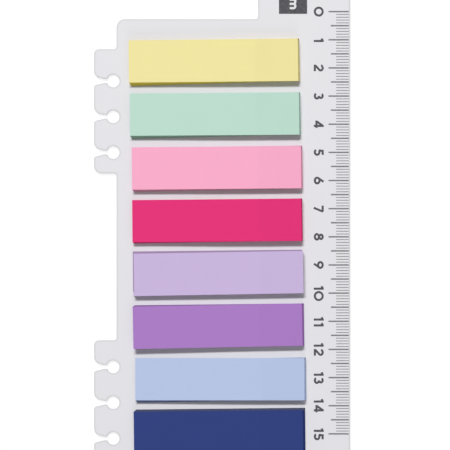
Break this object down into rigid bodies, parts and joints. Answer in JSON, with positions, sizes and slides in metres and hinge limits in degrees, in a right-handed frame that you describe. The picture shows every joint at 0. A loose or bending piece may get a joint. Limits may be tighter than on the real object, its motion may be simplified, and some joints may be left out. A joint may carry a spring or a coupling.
{
  "type": "sticky index tabs on a ruler card",
  "caption": "Flat plastic ruler card with ring notches and an index tab, carrying a column of sticky paper marker pads.",
  "frame": {"origin": "on the card's underside, in the middle of its whole outline with comb and tab", "axes": "+X across the page from the ring comb to the ruled edge, +Y up the page to the index tab, +Z out of the face that carries the marker pads"},
  "size_m": [0.091, 0.187, 0.0028],
  "materials": {
    "frosted_plastic": "satin",
    "scale_ink": "matte",
    "yellow_paper": "matte",
    "mint_paper": "matte",
    "pink_paper": "matte",
    "magenta_paper": "matte",
    "lilac_paper": "matte",
    "purple_paper": "matte",
    "light_blue_paper": "matte",
    "navy_paper": "matte"
  },
  "bodies": {
    "root": {"ruler_card": "frosted_plastic", "pad_yellow": "yellow_paper", "pad_mint": "mint_paper", "pad_pink": "pink_paper", "pad_magenta": "magenta_paper", "pad_lilac": "lilac_paper", "pad_purple": "purple_paper", "pad_light_blue": "light_blue_paper", "pad_navy": "navy_paper"}
  },
  "joints": []
}
